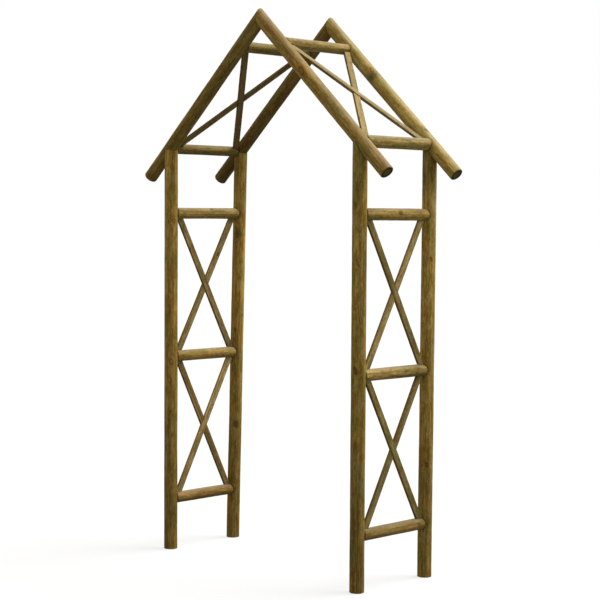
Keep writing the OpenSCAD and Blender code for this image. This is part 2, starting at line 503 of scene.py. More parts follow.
def wooden_piece(node, slot, look, length, before, pith, section, heart_run, rings, hearts, knots,
                 darkened_and_shaded, split, upward, stained, partner=None):
    """Makes the piece that stands for a node, with what its finish reads at each point.

    section holds each point's two offsets from the axis and its run along it, and before is how far
    past the piece's start that run is counted from. The growth rings run round pith, an offset in the
    section. knots is for the side's points alone, and the arrays after it for those of the caps too.
    The tone goes evenly from the look's tone at the start to that at the end, less the painted shade
    that darkens it towards the ground and under the eaves.
    """
    u, v, run = section
    shift = look.seed * GRAIN_STEP
    grain = np.stack([u - pith[0], v - pith[1], run + shift], -1)
    heart_grain = np.stack([np.full(2, -pith[0]), np.full(2, -pith[1]), heart_run + shift], -1)
    bare = no_knot(len(CAPS), run.shape[1])
    from_heart = with_ends(np.ones((len(knots), 1)), CAPS[::-1], CAPS) + 0 * run

    share = np.clip((run + before) / length, 0, 1)
    height = rings[..., 2]
    tone = look.fade[0] + share * (look.fade[1] - look.fade[0])
    # painted shade: darker towards the ground
    tone = tone * (FOOT_SHADE_TONE + (1 - FOOT_SHADE_TONE) * ease((height - FOOT_SHADE_FROM) / FOOT_SHADE_RISE))
    # painted shadow of the eaves: a darker head
    tone = tone * (1 - look.head * ease((height - EAVES_SHADOW_FROM) / EAVES_SHADOW_RISE))
    tint = np.append(look.tint, 1.0) * np.stack([tone, tone, tone, np.ones_like(tone)], -1)

    # dirt and painted shade where this piece meets the others
    dirt = joint_dirt_and_shade(rings, (node, partner))
    unmarked = np.zeros((2, 3))
    fields = {
        "grain": (grain, heart_grain),
        "knot": (with_ends(knots, bare, bare), no_knot(2)),
        "marks": (np.stack([darkened_and_shaded, split, dirt], -1), unmarked),
        "wear_and_sheen": (np.stack([upward, stained, from_heart], -1), unmarked),
        "tint": (tint, tint[[0, -1], 0]),
    }
    attributes = {
        name: np.concatenate([values.reshape(-1, values.shape[-1]), at_hearts])
        for name, (values, at_hearts) in fields.items()
    }
    piece = closed_surface(node + "_wood", rings, hearts, attributes, len(CAPS), (WOODS[slot], END_GRAIN))
    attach(piece, "root")
    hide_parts(node)


# The grain winds round by up to SPIRAL radians to the metre, and wavers by WAVER. The side stays at
# least POLE_SUNK under the full round. The pith lies off the axis by a share of the radius between the
# two of PITH_OFF. A flat FULL_FLAT deep and a split FULL_SPLIT deep count as 1 in the finish.
SPIRAL, WAVER = 0.10, 0.02
POLE_SUNK = 0.04 * MM
PITH_OFF = (0.12, 0.3)
SCREW_DENT, SCREW_DENT_REACH = 0.9 * MM, 5 * MM
FULL_FLAT, FULL_SPLIT = 0.8 * MM, 1.2 * MM


def round_pole(node, slot, pole, start_cuts, end_cuts, look, round_start=0.0, round_end=0.0,
               gap=RING_GAP, count=64):
    """A dressed round pole.

    A side point at angle q and distance t is axis(t) + r (cos q, sin q), with r the pole's radius less
    the unevenness, the splits and the flats, plus the swelling at knots, never over the radius. Each
    line along the side runs from its own start cut to its own end cut, and each point of a cap lies
    where a line along the pole meets the cut.
    """
    rng = np.random.default_rng(look.seed)
    first, second = cross_directions(pole.along)
    half = pole.length / 2
    centre = pole.start + pole.along * half
    spots = [k.along for k in look.knots] + [screw[0] for screw in look.screws]
    share = stations(pole.length, gap, spots)[:, None]
    t = share * pole.length
    spiral = rng.uniform(-SPIRAL, SPIRAL) * t + unevenness(rng, 0.0, t, WAVER, longest=0.7, shortest=0.25)
    straight = columns(look, pole.radius, count)[None, :]
    around = straight + spiral

    place = knot_space(look.knots, around, t + 0 * straight, pole.radius)
    flat = sum((flat_depth(f, straight, t, pole.radius) for f in look.flats), 0 * around)
    split = sum((split_depth(s, straight, t, pole.radius) for s in look.splits), 0 * around)
    sunk = hollows(rng, around, t, mean=0.3 * MM, wave=0.3 * MM, ripples=10, longest_ripple=0.12)
    sunk = np.maximum(sunk + flat - knot_swell(place), POLE_SUNK) + split
    for spot, angle in look.screws:
        off = np.hypot(t - spot, pole.radius * turn_between(around, math.radians(angle)))
        sunk = sunk + SCREW_DENT * np.exp(-((off / SCREW_DENT_REACH) ** 4))
    for reach, size in ((t, round_start), (pole.length - t, round_end)):
        if size:
            sunk = sunk + size * (1 - np.sqrt(1 - (1 - np.clip(reach / size, 0, 1)) ** 2))
    radius = pole.radius - sunk

    def radial(r, q):
        return r[..., None] * (np.cos(q)[..., None] * first + np.sin(q)[..., None] * second)

    def start_run(r, q):
        return half - nearest(start_cuts, centre + radial(r, q), -pole.along)

    def end_run(r, q):
        return half + nearest(end_cuts, centre + radial(r, q), pole.along)

    starts, ends = start_run(radius[0], around[0]), end_run(radius[-1], around[-1])
    side_run = starts + share * (ends - starts)
    r, q, run, heart_run = with_caps(radius, around, side_run, start_run, end_run, np.ones_like(CAPS))
    rings = pole.start + radial(r, q) + run[..., None] * pole.along
    hearts = pole.start + heart_run[:, None] * pole.along

    off_centre = pole.radius * rng.uniform(*PITH_OFF)
    turn = rng.uniform(0, 2 * np.pi)
    pith = off_centre * np.array([math.cos(turn), math.sin(turn)])
    stained = 0 * run
    for spot, angle, size in look.stains:
        off_along = (run - spot) / (size * MM)
        off_round = pole.radius * turn_between(q, math.radians(angle)) / (size * MM)
        stained = np.maximum(stained, np.exp(-((off_along ** 2 + off_round ** 2) ** 1.5)))
    blank = np.zeros((len(CAPS), straight.size))
    darkened_and_shaded = with_ends(np.clip(flat / FULL_FLAT, 0, 1), blank, blank)
    opened = with_ends(np.clip(split / FULL_SPLIT, 0, 1), blank, blank)
    upward = np.cos(q) * first[2] + np.sin(q) * second[2]
    section = r * np.cos(q), r * np.sin(q), run
    wooden_piece(node, slot, look, pole.length, 0.0, pith, section, heart_run, rings, hearts, place,
                 darkened_and_shaded, opened, upward, stained)


# ---- Finishes ----


def step(owner, kind, *inputs, **settings):
    """Adds one node to a material or world. Each input is a link, a plain value, or None to leave it."""
    tree = owner.node_tree
    node = tree.nodes.new("ShaderNode" + kind)
    for key, value in settings.items():
        setattr(node, key, value)
    for socket, value in zip(node.inputs, inputs):
        if isinstance(value, bpy.types.NodeSocket):
            tree.links.new(value, socket)
        elif value is not None:
            socket.default_value = value
    return node


def maths(m, operation, *inputs):
    return step(m, "Math", *inputs, operation=operation).outputs[0]


def scaled(m, value, by):
    return maths(m, "MULTIPLY", value, by)


def vector_maths(m, operation, *inputs):
    return step(m, "VectorMath", *inputs, operation=operation).outputs


def blend_colour(m, share, a, b, kind="MIX"):
    """Mixes two colours by a share. The Mix node's colours are its seventh and eighth sockets."""
    settings = dict(data_type="RGBA", blend_type=kind, clamp_factor=True)
    return step(m, "Mix", share, *[None] * 5, a, b, **settings).outputs[2]


def layered(m, colour, layers):
    """Lays colours over one another. Each layer is where it lies, how strongly, and its colour."""
    for share, strength, over in layers:
        colour = blend_colour(m, scaled(m, share, strength), colour, over)
    return colour


def smooth_share(m, value, low, high):
    """0 under low, 1 over high, smooth between them."""
    return step(m, "MapRange", value, low, high, 0.0, 1.0, interpolation_type="SMOOTHSTEP").outputs[0]


def near_zero(m, value, low, high):
    """1 under low, 0 over high, smooth between them."""
    return maths(m, "SUBTRACT", 1.0, smooth_share(m, value, low, high))


def stretched_noise(m, grain, across, along, detail=3.0, roughness=0.6):
    """Noise stretched along the grain: across and along say how many lumps there are to the metre."""
    at = vector_maths(m, "MULTIPLY", grain, (across, across, along))[0]
    return step(m, "TexNoise", at, None, 1.0, detail, roughness).outputs[0]


def attribute(m, name, output="Vector"):
    return step(m, "Attribute", attribute_name=name).outputs[output]


def parts_of(m, vector):
    return step(m, "SeparateXYZ", vector).outputs


def rgb(colour):
    return tuple(colour) + (1.0,)


def darker(colour, by):
    return rgb([by * c for c in colour])


def new_finish(name):
    material = bpy.data.materials.new(name)
    material.use_nodes = True
    material.node_tree.nodes.clear()
    return material


def finish_output(m, colour, roughness, height, bump_distance, specular=0.08, metallic=0.0):
    """The shader, whose sixth socket is its normal, with bump of full strength from a height."""
    normal = step(m, "Bump", 1.0, bump_distance, None, height).outputs[0]
    shader = step(m, "BsdfPrincipled", colour, metallic, roughness, None, None, normal)
    shader.inputs["Specular IOR Level"].default_value = specular
    step(m, "OutputMaterial", shader.outputs[0])
    return m


def pith_rings(m, grain, ring_gap, wander, extra):
    """The growth ring count at a point: its distance from the pith over ring_gap, plus the wander."""
    parts = parts_of(m, grain)
    squares = maths(m, "MULTIPLY_ADD", parts[1], parts[1], scaled(m, parts[0], parts[0]))
    count = maths(m, "DIVIDE", maths(m, "SQRT", squares), ring_gap)
    return maths(m, "MULTIPLY_ADD", wander, extra, count)


def late_wood(m, rings, low, high):
    """The dark share of each growth ring: how far the count is from a whole number."""
    return smooth_share(m, maths(m, "PINGPONG", rings, 0.5), low, high)


PALE_BLOOM = (0.205, 0.170, 0.075)
PALE_SPECK = (0.33, 0.27, 0.13)
GREEN_STAIN = (0.040, 0.042, 0.009)
NOISE_SHIFT = (0.37, 0.61, 0.83)
COLLAR_AT = 0.85


def treated_softwood(name, gold, brown, olive, straw_and_sheen, ring_gap, mottle):
    """Treated softwood seen along the grain.

    Growth rings are shells about the pith, ring_gap apart, that wander and bulge round knots. Soft
    olive and reddish patches of preservative lie over them, then a pale bloom, fine fibres and specks,
    as strong as mottle says. Flats and narrow sawn sides are darker, and a batten's narrow sides have
    painted shade the more they face down. What faces up is paler, from bleaching and painted sheen.
    Splits and the places where the pieces meet darken with dirt and painted shade. A dark knot has a
    dark heart, and a paler one only a dark ring.
    """
    m = new_finish(name)
    grain = attribute(m, "grain")
    at_knot = attribute(m, "knot")
    knot_dark = parts_of(m, at_knot)[2]
    flat, split, dirt = parts_of(m, attribute(m, "marks"))
    upward, stained, _ = parts_of(m, attribute(m, "wear_and_sheen"))

    ragged = maths(m, "SUBTRACT", stretched_noise(m, grain, 300, 120, 2.0, 0.5), 0.5)
    far = vector_maths(m, "MULTIPLY", at_knot, (1.0, 1.0, 0.0))[0]
    far = maths(m, "MULTIPLY_ADD", ragged, 0.8, vector_maths(m, "LENGTH", far)["Value"])
    bulge = near_zero(m, far, 0.2, 2.8)
    wander = stretched_noise(m, grain, 24, 2.0, 2.0, 0.5)
    rings = pith_rings(m, grain, ring_gap, wander, 6.0)
    late = late_wood(m, maths(m, "MULTIPLY_ADD", bulge, 2.2, rings), 0.18, 0.5)

    fibre = stretched_noise(m, grain, 1100, 22)
    streak = stretched_noise(m, grain, 85, 2.6, 3.0, 0.55)
    patch = stretched_noise(m, grain, 34, 7.0)
    elsewhere = vector_maths(m, "ADD", grain, NOISE_SHIFT)[0]
    warm = stretched_noise(m, elsewhere, 42, 10.0)
    bloom = stretched_noise(m, elsewhere, 50, 16)
    speck = stretched_noise(m, elsewhere, 240, 48, 4.0, 0.75)

    red = rgb((1.18 * brown[0] + 0.02, 0.95 * brown[1], brown[2]))
    bleach_and_sheen = maths(m, "MULTIPLY_ADD", patch, -0.5, 0.8)
    off_collar = maths(m, "ABSOLUTE", maths(m, "SUBTRACT", far, COLLAR_AT))
    collar = scaled(m, near_zero(m, off_collar, 0.1, 0.4), 0.8)
    dark_heart = scaled(m, smooth_share(m, knot_dark, 0.6, 1.0), 0.7)
    dirt_and_shade_strength = maths(m, "MULTIPLY_ADD", speck, 0.6, 0.05)
    colour = blend_colour(m, smooth_share(m, streak, 0.38, 0.66), rgb(gold), rgb(brown))
    colour = layered(m, colour, [
        (smooth_share(m, patch, 0.46, 0.62), 0.8, rgb(olive)),
        (smooth_share(m, warm, 0.54, 0.70), 0.6, red),
        (late, 0.45, darker(brown, 0.62)),
        (smooth_share(m, fibre, 0.45, 0.75), 0.30, darker(brown, 0.4)),
        (smooth_share(m, bloom, 0.50, 0.66), 0.3, rgb(PALE_BLOOM)),
        (near_zero(m, bloom, 0.37, 0.48), 0.5, darker(brown, 0.8)),
        (smooth_share(m, speck, 0.53, 0.65), 0.65 * mottle, darker(olive, 0.4)),
        (near_zero(m, speck, 0.34, 0.46), 0.42 * mottle, rgb(PALE_SPECK)),
        # flats, and on a batten its narrow sides with painted shade the more they face down
        (flat, 0.45, darker(brown, 0.7)),
        # painted sheen and bleaching: faces that turn up are paler
        (smooth_share(m, upward, 0.35, 1.05), bleach_and_sheen, rgb(straw_and_sheen)),
        (stained, 0.85, rgb(GREEN_STAIN)),
        (scaled(m, near_zero(m, far, 0.7, 2.2), 0.5), knot_dark, red),
        (collar, knot_dark, darker(brown, 0.25)),
        (near_zero(m, far, 0.3, 0.8), dark_heart, darker(brown, 0.45)),
        # splits painted near black: dirt and painted shade in the crack
        (split, 0.85, darker(brown, 0.12)),
        # dirt and painted shade where the pieces meet
        (smooth_share(m, dirt, 0.1, 1.0), dirt_and_shade_strength, darker(brown, 0.18)),
    ])
    colour = blend_colour(m, 1.0, colour, attribute(m, "tint", "Color"), "MULTIPLY")

    roughness = maths(m, "MULTIPLY_ADD", fibre, 0.25, 0.58)
    height = maths(m, "MULTIPLY_ADD", late, 0.25, scaled(m, fibre, 0.5))
    height = maths(m, "MULTIPLY_ADD", speck, 0.7, height)
    return finish_output(m, colour, roughness, height, 0.5 * MM)


def sawn_end(name, pale, dark, ring_gap):
    """End grain: growth rings round the pith, saw marks, patches of dirt, and a rim black with it."""
    m = new_finish(name)
    grain = attribute(m, "grain")
    wander = stretched_noise(m, grain, 60, 60, 2.0, 0.5)
    late = late_wood(m, pith_rings(m, grain, ring_gap, wander, 1.2), 0.12, 0.45)
    saw = stretched_noise(m, grain, 900, 900)
    dirt = stretched_noise(m, grain, 45, 45)
    from_heart = parts_of(m, attribute(m, "wear_and_sheen"))[2]
    colour = layered(m, rgb(pale), [
        (late, 0.7, rgb(dark)),
        (smooth_share(m, dirt, 0.4, 0.7), 0.6, rgb(dark)),
        (smooth_share(m, saw, 0.4, 0.7), 0.35, darker(dark, 0.6)),
        (smooth_share(m, from_heart, 0.5, 0.9), 0.85, darker(dark, 0.5)),
    ])
    height = maths(m, "ADD", scaled(m, late, 0.4), saw)
    return finish_output(m, colour, 0.85, height, 0.4 * MM)


ZINC, RUST = (0.11, 0.10, 0.075), (0.07, 0.04, 0.018)


def dull_zinc(name):
    """Zinc-plated steel that has dulled, with patches of rust."""
    m = new_finish(name)
    at = step(m, "TexCoord").outputs["Object"]
    rust = smooth_share(m, step(m, "TexNoise", at, None, 420.0, 3.0, 0.6).outputs[0], 0.5, 0.7)
    colour = blend_colour(m, rust, rgb(ZINC), rgb(RUST))
    return finish_output(m, colour, maths(m, "MULTIPLY_ADD", rust, 0.35, 0.45), rust, 0.1 * MM, 0.3, 0.3)


WOODS = {
    "pole_wood": treated_softwood(
        "rounded_pole_wood", gold=(0.266, 0.164, 0.027), brown=(0.130, 0.065, 0.008),
        olive=(0.120, 0.093, 0.010), straw_and_sheen=(0.165, 0.141, 0.100), ring_gap=3.6 * MM, mottle=1.0),
    "rung_wood": treated_softwood(
        "rounded_rung_wood", gold=(0.274, 0.184, 0.041), brown=(0.131, 0.071, 0.013),
        olive=(0.123, 0.101, 0.015), straw_and_sheen=(0.190, 0.166, 0.102), ring_gap=3.0 * MM, mottle=1.1),
    "brace_wood": treated_softwood(
        "sawn_batten_wood", gold=(0.278, 0.194, 0.055), brown=(0.134, 0.079, 0.019),
        olive=(0.127, 0.102, 0.023), straw_and_sheen=(0.210, 0.165, 0.085), ring_gap=2.6 * MM, mottle=1.3),
}
END_GRAIN = sawn_end("sawn_end_grain", (0.115, 0.090, 0.032), (0.024, 0.017, 0.005), 3.6 * MM)
SCREW_METAL = dull_zinc("dulled_screw_metal")


# ---- Pieces ----

# What shows on each piece, in the words of Look. A knot is (distance along, angle round the piece's own
# axis, half width in mm, darkness), and a stain (distance along, angle round, size in mm).
NOTED = {
    "post_front_left": dict(shade=1.22, knots=[
        (1.485, -14, 7, 0.6), (1.477, -65, 4, 0.8), (0.851, -40, 9, 0.6),
        (0.624, -43, 5, 0.7), (0.59, -60, 4, 0.7), (1.230, -19, 3, 0.5)]),
    "post_front_right": dict(shade=1.13, green=0.4, head=0.05, knots=[
        (1.556, -81, 5), (1.339, -57, 7, 0.7), (1.087, -30, 4, 0.6), (0.900, -72, 9)]),
    "post_back_left": dict(shade=1.34, head=0.22, knots=[
        (1.417, -58, 8, 0.8), (1.219, -27, 5, 0.7), (0.978, -64, 5), (0.533, -30, 9, 0.7),
        (0.091, -10, 5, 0.7)], stains=[(1.417, -50, 20), (0.533, -40, 16)]),
    "post_back_right": dict(shade=1.50, green=0.3, grey=0.5, head=0.4, knots=[
        (1.369, -26, 6), (1.060, -88, 6, 0.7), (0.488, -41, 7)]),
    # On the roof the rafters, ties and braces of the left slope take a lower shade than those of the right
    # slope: painted shade on the left slope.
    "rafter_front_left": dict(shade=0.80, green=0.3),
    "rafter_back_left": dict(shade=0.63, fade=(0.85, 1.15)),
    "rafter_front_right": dict(shade=1.19, grey=0.3, knots=[
        (0.607, 14, 13, 0.75), (0.572, 22, 5, 0.6)]),
    "rafter_back_right": dict(shade=1.54, green=0.6, grey=0.6, fade=(1.08, 0.92), knots=[
        (0.628, 58, 9, 0.75), (0.253, 70, 7, 0.55)], stains=[
        (0.616, 44, 19), (0.616, 8, 20), (0.245, 84, 11)]),
    "rung_left_low": dict(shade=1.40, green=-0.9),
    "rung_left_mid": dict(shade=1.30, green=-0.5, fade=(0.93, 1.07)),
    "rung_left_top": dict(shade=1.30, grey=0.5, fade=(1.15, 0.82), knots=[(0.229, 128, 6, 0.8)]),
    "rung_right_low": dict(shade=1.30, green=-0.3, fade=(0.94, 1.07), knots=[(0.366, 170, 6, 0.8)]),
    "rung_right_mid": dict(shade=1.25, grey=0.5, fade=(1.15, 0.85), knots=[
        (0.262, 168, 5, 0.8), (0.341, 200, 4, 0.8), (0.358, 154, 3.5, 0.8)]),
    "rung_right_top": dict(shade=1.15, fade=(0.7, 1.35), knots=[(0.219, 166, 8)]),
    "tie_eaves_left": dict(shade=0.78, green=0.5, grey=0.5),
    "tie_eaves_right": dict(shade=1.25, green=0.7, grey=0.9),
    "tie_ridge_left": dict(shade=0.85, green=0.5),
    "tie_ridge_right": dict(shade=1.3, grey=0.9),
    "brace_left_low_fall": dict(shade=1.08, green=-0.5, fade=(0.92, 1.1)),
    "brace_left_low_rise": dict(shade=1.67, grey=0.8, fade=(0.93, 1.1)),
    "brace_left_high_fall": dict(shade=0.97, grey=0.6, fade=(1.15, 0.85)),
    "brace_left_high_rise": dict(shade=0.99, fade=(1.15, 0.88), knots=[(0.52, 270, 6)]),
    "brace_right_low_fall": dict(shade=1.02, green=0.4, grey=-0.5, fade=(0.93, 1.1)),
    "brace_right_low_rise": dict(shade=1.05, green=0.4),
    "brace_right_high_fall": dict(shade=0.86, green=0.3, fade=(1.1, 0.9)),
    "brace_right_high_rise": dict(shade=1.19, grey=0.5),
    "brace_roof_left_fall": dict(shade=0.67, green=-0.5, fade=(1.08, 0.94)),
    "brace_roof_left_rise": dict(shade=0.69, grey=-0.5),
    "brace_roof_right_fall": dict(shade=1.12, green=0.6, grey=1.2),
    "brace_roof_right_rise": dict(shade=1.02),
}

# The first seed of each kind of piece, and what sets a look's draws apart from its shape's.
SEEDS = {"post": 10, "rafter": 20, "cross": 30, "brace": 60, "look": 1000}


def look_of(node, seed, length, hidden, knots, splits=0, flats=0, screws=()):
    """The noted look of a piece, with more knots, splits and flats from its own seed.

    hidden is the angle about which the added knots and splits lie.
    """
    noted = dict(NOTED[node])
    rng = np.random.default_rng(SEEDS["look"] + seed)
    spots = (np.arange(knots) + rng.uniform(0.2, 0.8, knots)) / knots * length
    more = []
    for spot in spots:
        more.append((spot, hidden + rng.uniform(-100, 100), rng.uniform(3.5, 7), rng.uniform(0.5, 1.0)))
    cracks = []
    for _ in range(splits):
        start = rng.uniform(0.0, 0.5) * length
        stop = start + rng.uniform(0.25, 0.45) * length
        cracks.append((hidden + rng.uniform(-100, 100), start, stop, rng.uniform(0.6, 1.1)))
    strips = []
    for _ in range(flats):
        start = rng.uniform(0.0, 0.5) * length
        angle = rng.uniform(0, 360)
        stop = start + rng.uniform(0.3, 0.5) * length
        strips.append((angle, start, stop, rng.uniform(0.6, 1.2)))
    noted["knots"] = noted.get("knots", []) + more
    return Look(seed, splits=cracks, flats=strips, screws=screws, **noted)


def post_screws(side, row):
    """Distance along the post and angle round it of the screw into each rung, just under its axis."""
    return [(CROSS_POLES[side, level].start[2] - 2 * MM, 90 * row) for level in LEVELS]


def rafter_screws(side, row):
    """Two screws at the eaves, one from outside and one from above, and one from above at the mitre."""
    eaves = (LOW_END_X - AXIS_X) / math.cos(PITCH)
    outer, top = (0.0, 105.0) if (side > 0) == (row < 0) else (180.0, 75.0)
    return [(eaves, outer), (eaves - 22 * MM, top), (RAFTERS[side, row].length - 26 * MM, 90.0)]


def make_posts():
    for number, ((side, row), post) in enumerate(POSTS.items()):
        node = corner_node("post", side, row)
        look = look_of(node, SEEDS["post"] + number, post.length, hidden=110, knots=4, splits=2, flats=2,
                       screws=post_screws(side, row))
        foot_cut = sawn_at(np.zeros(3), (0, 0, 1.0))
        head_cuts = [sawn_at(post_point(side, row, HEAD_Z), post.along), scribed_to(RAFTERS[side, row])]
        round_pole(node, "pole_wood", post, [foot_cut], head_cuts, look, round_start=1.2 * MM, count=72)


def make_rafters():
    for number, ((side, row), rafter) in enumerate(RAFTERS.items()):
        node = corner_node("rafter", side, row)
        look = look_of(node, SEEDS["rafter"] + number, rafter.length, hidden=210 if side > 0 else 20,
                       knots=2, splits=1, flats=1, screws=rafter_screws(side, row))
        end_cut = sawn_at(rafter.start, rafter.along)
        mitre = sawn_at(np.array([side * SEAT_GAP / 2, 0, 0]), (1.0, 0, 0))
        round_pole(node, "pole_wood", rafter, [end_cut], [mitre], look,
                   round_start=1.6 * END_CHAMFER, count=72)


def make_rungs_and_ties():
    """Each end is scribed to a post or a rafter, and at the eaves to both, where the post is sawn off."""
    rounding = 5 * MM
    for number, ((side, place), pole) in enumerate(CROSS_POLES.items()):
        ends = []
        for row in ROWS:
            cuts = [scribed_to((POSTS if place in LEVELS else RAFTERS)[side, row])]
            if place == "eaves":
                cuts.append(scribed_to(POSTS[side, row], below=HEAD_Z + SEAT_GAP))
            ends.append(cuts)
        node = cross_node(side, place)
        look = look_of(node, SEEDS["cross"] + number, pole.length, hidden=0, knots=1, splits=1)
        round_pole(node, "rung_wood", pole, *ends, look, rounding, rounding, gap=5 * MM)


# ---- Screw heads ----

HEAD_EDGE, HEAD_DOME, HEAD_SINK = 3.9 * MM, 0.35 * MM, 0.55 * MM
RECESS_DEPTH, RECESS_HALF, RECESS_REACH = 0.9 * MM, 0.45 * MM, 2.2 * MM
# The cone under the face, as shares of the edge and depths in millimetres.
CONE_SHARES = (0.97, 0.72, 0.45)
CONE_DEPTHS = (0.5, 1.0, 1.6)


def screw_head(name, pole, spot, angle):
    """A countersunk cross-head screw, turned about the pole's radius at its spot.

    At radius r and turn q the face lies dome (1 - (r / edge) squared) over the rim, less the cross
    recess, whose depth is a bell over the nearer of two lines square to each other.
    """
    first, second = cross_directions(pole.along)
    out = math.cos(math.radians(angle)) * first + math.sin(math.radians(angle)) * second
    side_way = np.cross(out, pole.along)
    face = np.linspace(0.12, 1, 12)
    reach = np.concatenate([face, CONE_SHARES])[:, None] * HEAD_EDGE
    turn = np.linspace(0, 2 * np.pi, 40, endpoint=False)[None, :]
    x, y = reach * np.cos(turn), reach * np.sin(turn)
    off_line = np.minimum(np.abs(x), np.abs(y))
    recess = np.exp(-((off_line / RECESS_HALF) ** 2) - (np.hypot(x, y) / RECESS_REACH) ** 6)
    lift = HEAD_DOME * (1 - (reach / HEAD_EDGE) ** 2) - RECESS_DEPTH * recess
    lift[len(face):] = -np.array(CONE_DEPTHS)[:, None] * MM
    base = pole.start + spot * pole.along + (pole.radius - HEAD_SINK) * out
    rings = base + x[..., None] * side_way + y[..., None] * pole.along + lift[..., None] * out
    hearts = [base - HEAD_SINK * out, base - CONE_DEPTHS[-1] * MM * out]
    return closed_surface(name, rings[:, ::-1], hearts, {}, 0, (SCREW_METAL, SCREW_METAL))


def make_screws():
    spots = []
    for corner in CORNERS:
        spots += [(POSTS[corner], *spot) for spot in post_screws(*corner)]
        spots += [(RAFTERS[corner], *spot) for spot in rafter_screws(*corner)]
    for number, (pole, spot, angle) in enumerate(spots, 1):
        piece = screw_head("screw_head_%02d" % number, pole, spot, angle)
        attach(piece, "root")


# ---- Batten braces ----

# A batten stays at least BATTEN_SUNK under its full size. The pith of its tree lies outside it, to
# either side of its middle by up to BATTEN_PITH_ASIDE and under it by BATTEN_PITH_UNDER.
EDGE_POWER = 20
CROWDING = 4 * MM
LAP_RINGS = 7
LAP_SHOULDER = 0.12 * MM
BATTEN_SUNK = 0.03 * MM
BATTEN_PITH_ASIDE, BATTEN_PITH_UNDER = 9 * MM, (14 * MM, 34 * MM)


def brace_level(node):
    return OUTER_LEVEL if node in OUTER_BRACES else INNER_LEVEL


def batten_section(count):
    """The batten's section as a loop of (across, above its middle, turn) points.

    In direction q the edge lies at ((cos q / half width)^20 + (sin q / half depth)^20)^(-1/20), a
    rectangle with eased arrises. The points are even in distance plus CROWDING for each radian
    turned, so that they crowd at the arrises. turn goes evenly with the distance round.
    """
    q = np.linspace(0, 2 * np.pi, 2881)
    flatness = (np.abs(np.cos(q) / (BRACE_WIDTH / 2)) ** EDGE_POWER
                + np.abs(np.sin(q) / (BRACE_DEPTH / 2)) ** EDGE_POWER)
    loop = np.stack([np.cos(q), np.sin(q)], -1) * (flatness ** (-1 / EDGE_POWER))[:, None]
    side = np.diff(loop, axis=0)
    heading = np.unwrap(np.arctan2(side[:, 1], side[:, 0]))
    distance = np.concatenate([[0], np.cumsum(np.linalg.norm(side, axis=1))])
    crowded = distance + CROWDING * np.concatenate([[0], heading - heading[0]])
    even = np.arange(count) / count * crowded[-1]
    turn = distance / distance[-1] * 2 * np.pi
    return [np.interp(even, crowded, values) for values in (loop[:, 0], loop[:, 1], turn)]


def batten_brace(node, partner, line, other_line, normal, start_cuts, end_cuts, look):
    """A dressed batten, scribed at both ends and cross-halved where it meets its partner.

    A point of the section runs along the brace from its start cut to the partner's near side, across
    the lap, and from the partner's far side to its end cut. The partner's sides lie half its width
    and the lap gap off its line. In the lap, the half of the section that faces the partner is
    squeezed up to the lap level.
    """
    rng = np.random.default_rng(look.seed)
    start, end = line
    along = unit(end - start)
    across = np.cross(normal, along)
    other_across = np.cross(normal, unit(other_line[1] - other_line[0]))
    slant = dot(along, other_across)
    to_crossing = dot(other_line[0] - start, other_across) / slant
    level = brace_level(node)
    outward = 1 if node in OUTER_BRACES else -1
    crossing = start + to_crossing * along + level * normal
    section_w, section_n, turn = [values[::-1] for values in batten_section(count=48)]

    arm = np.append(stations(to_crossing, RING_GAP)[:-1], 1 - LAP_SHOULDER / to_crossing)
    share = np.concatenate([arm, np.linspace(0, 1, LAP_RINGS), 1 - arm[::-1]])[:, None]
    part = np.repeat([0, 1, 2], [len(arm), LAP_RINGS, len(arm)])[:, None]

    def at(w, n, t):
        return crossing + w[..., None] * across + n[..., None] * normal + t[..., None] * along

    def start_run(w, n):
        return -nearest(start_cuts, at(w, n, 0 * w), -along)

    def end_run(w, n):
        return nearest(end_cuts, at(w, n, 0 * w), along)

    def distances(w, n):
        """How far along the brace each point lies, from the crossing."""
        middle_of_lap = -w * dot(across, other_across) / slant
        half_lap = (BRACE_WIDTH / 2 + LAP_GAP) / abs(slant)
        near, far = middle_of_lap - half_lap, middle_of_lap + half_lap
        begin, finish = start_run(w[0], n[0]), end_run(w[-1], n[-1])
        arms = np.where(part == 0, begin + share * (near - begin), far + share * (finish - far))
        return np.where(part == 1, near + share * (far - near), arms)

    def squeezed(n):
        """Leaves what lies outward of a middle level, and brings the rest up to the lap level."""
        half = BRACE_DEPTH / 2
        lap = outward * (LAP_LEVEL - level) + LAP_GAP / 2
        kept = (lap + half) / 2
        height = outward * n
        brought = lap + (height + half) * (kept - lap) / (kept + half)
        return outward * np.where(height > kept, height, brought)

    w = section_w + 0 * share
    n = section_n + 0 * share
    from_start = distances(w, n) + to_crossing
    place = knot_space(look.knots, turn + 0 * from_start, from_start, (BRACE_WIDTH + BRACE_DEPTH) / np.pi)
    sunk = hollows(rng, turn, from_start, mean=0.35 * MM, wave=0.2 * MM, ripples=8, longest_ripple=0.1)
    sunk = np.maximum(sunk - 0.6 * knot_swell(place), BATTEN_SUNK)
    shrink = 1 - sunk / np.hypot(w, n)
    w, n = w * shrink, n * shrink
    n = np.where(part == 1, squeezed(n), n)

    w, n, run, heart_run = with_caps(w, n, distances(w, n), start_run, end_run)
    rings = at(w, n, run)
    hearts = at(np.zeros(2), np.zeros(2), heart_run)

    pith = rng.uniform(-BATTEN_PITH_ASIDE, BATTEN_PITH_ASIDE), -rng.uniform(*BATTEN_PITH_UNDER)
    out = w[..., None] * across + n[..., None] * normal
    upward = out[..., 2] / np.maximum(np.linalg.norm(out, axis=-1), 1 * MM)
    # The narrow sides are darker, with painted shade the more they face down.
    narrow_side_dark_and_shade = np.clip((np.abs(w) / (BRACE_WIDTH / 2) - 0.92) / 0.04, 0, 1) * (1 - 0.7 * upward)
    wooden_piece(node, "brace_wood", look, np.linalg.norm(end - start), to_crossing, pith, (w, n, run),
                 heart_run, rings, hearts, place, narrow_side_dark_and_shade, 0 * run, upward, 0 * run, partner)


